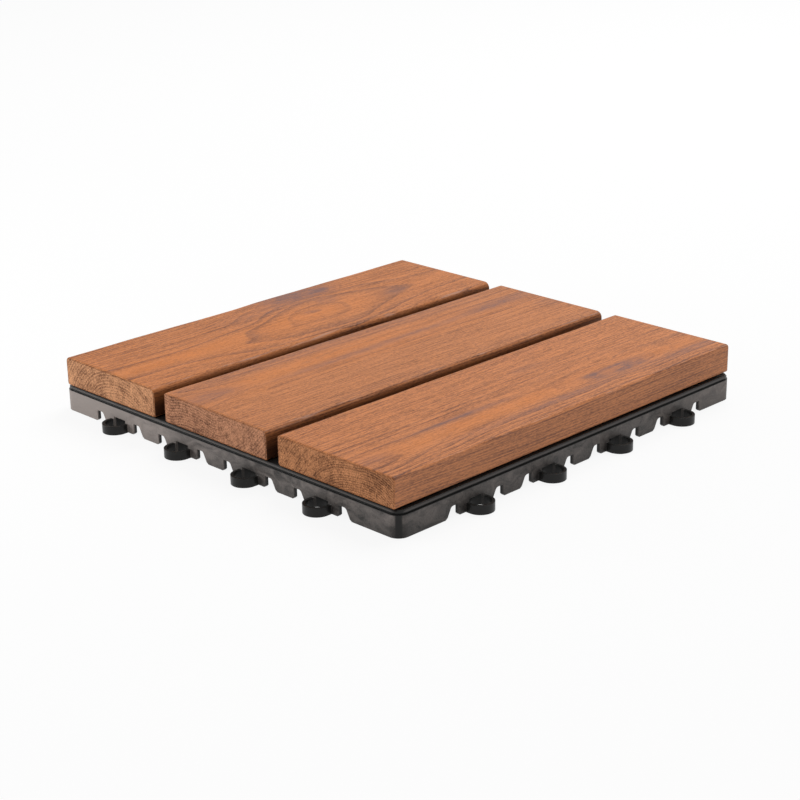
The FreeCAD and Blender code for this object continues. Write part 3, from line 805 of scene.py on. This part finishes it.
def soft_sky():
    """An even white room: plain white where it is seen, a little dimmer as light."""
    world = bpy.data.worlds.new("soft_room")
    bpy.context.scene.world = world
    world.use_nodes = True
    tree = world.node_tree
    tree.nodes.clear()
    ray = tree.nodes.new("ShaderNodeLightPath")
    background = tree.nodes.new("ShaderNodeBackground")
    background.inputs["Color"].default_value = WHITE
    strength = tree.nodes.new("ShaderNodeMapRange")
    strength.inputs["To Min"].default_value = SKY_LIGHT
    strength.inputs["To Max"].default_value = SKY_SEEN
    seen = tree.nodes.new("ShaderNodeMath")
    seen.operation = "MAXIMUM"
    tree.links.new(ray.outputs["Is Camera Ray"], seen.inputs[0])
    tree.links.new(ray.outputs["Is Glossy Ray"], seen.inputs[1])
    tree.links.new(seen.outputs[0], strength.inputs["Value"])
    tree.links.new(strength.outputs[0], background.inputs["Strength"])
    output = tree.nodes.new("ShaderNodeOutputWorld")
    tree.links.new(background.outputs[0], output.inputs[0])


def panel(name, place, target, side, watts):
    """A square soft light that faces a point."""
    data = bpy.data.lights.new(name, "AREA")
    data.shape = "SQUARE"
    data.size = side
    data.energy = watts
    lamp = bpy.data.objects.new(name, data)
    bpy.context.scene.collection.objects.link(lamp)
    lamp.visible_camera = False
    back = np.array(place) - np.array(target)
    lamp.matrix_world = look(back / np.linalg.norm(back), place)


def look(back, place, roll=0.0):
    """A matrix that stands at a place with its back along a direction."""
    right = np.cross([0, 0, 1.0], back)
    right /= np.linalg.norm(right)
    up = np.cross(back, right)
    turned_right = math.cos(roll) * right + math.sin(roll) * up
    turned_up = math.cos(roll) * up - math.sin(roll) * right
    matrix = Matrix.Identity(4)
    for axis, direction in enumerate((turned_right, turned_up, back)):
        for row in range(3):
            matrix[row][axis] = direction[row]
    for row in range(3):
        matrix[row][3] = place[row]
    return matrix


# The camera that the corners and the outline in the photograph give
VIEW_AZIMUTH = math.radians(45.20)
VIEW_ELEVATION = math.radians(20.24)
VIEW_ROLL = math.radians(-0.95)
VIEW_DISTANCE = 1.1852
VIEW_SIDESTEP = 0.0013
VIEW_RISE = -0.01246
VIEW_HEIGHT = 0.015
FOCAL_PIXELS = 1864.0
PICTURE_PIXELS = 800
SENSOR = 36.0

# Lights: name, place, what they face, their side and their power
LIGHTS = [
    ("high_back_light", (-0.3, 1.3, 1.9), (0, 0, 0), 1.4, 30),
    ("left_light", (-0.62, -0.62, 0.22), (-0.15, -0.15, 0), 0.4, 2.6),
]


def camera():
    back = np.array([
        math.sin(VIEW_AZIMUTH) * math.cos(VIEW_ELEVATION),
        -math.cos(VIEW_AZIMUTH) * math.cos(VIEW_ELEVATION),
        math.sin(VIEW_ELEVATION),
    ])
    turned = look(back, (0, 0, 0), VIEW_ROLL)
    right, up = (np.array([turned[row][axis] for row in range(3)]) for axis in (0, 1))
    place = np.array([0, 0, VIEW_HEIGHT]) + back * VIEW_DISTANCE
    place = place + right * VIEW_SIDESTEP + up * VIEW_RISE
    data = bpy.data.cameras.new("photo_view")
    data.sensor_width = SENSOR
    data.sensor_height = SENSOR
    data.sensor_fit = "HORIZONTAL"
    data.lens = FOCAL_PIXELS / PICTURE_PIXELS * SENSOR
    eye = bpy.data.objects.new("photo_view", data)
    bpy.context.scene.collection.objects.link(eye)
    eye.matrix_world = look(back, tuple(place), VIEW_ROLL)
    bpy.context.scene.camera = eye


camera()
soft_sky()
white_floor()
for name, place, target, side, watts in LIGHTS:
    panel(name, place, target, side, watts)
bpy.context.scene.view_settings.view_transform = "Standard"

for name, facts in BOARDS.items():
    build_board(name, facts)
dress_node("base", plastic())
dress_node("board_screws", zinc())
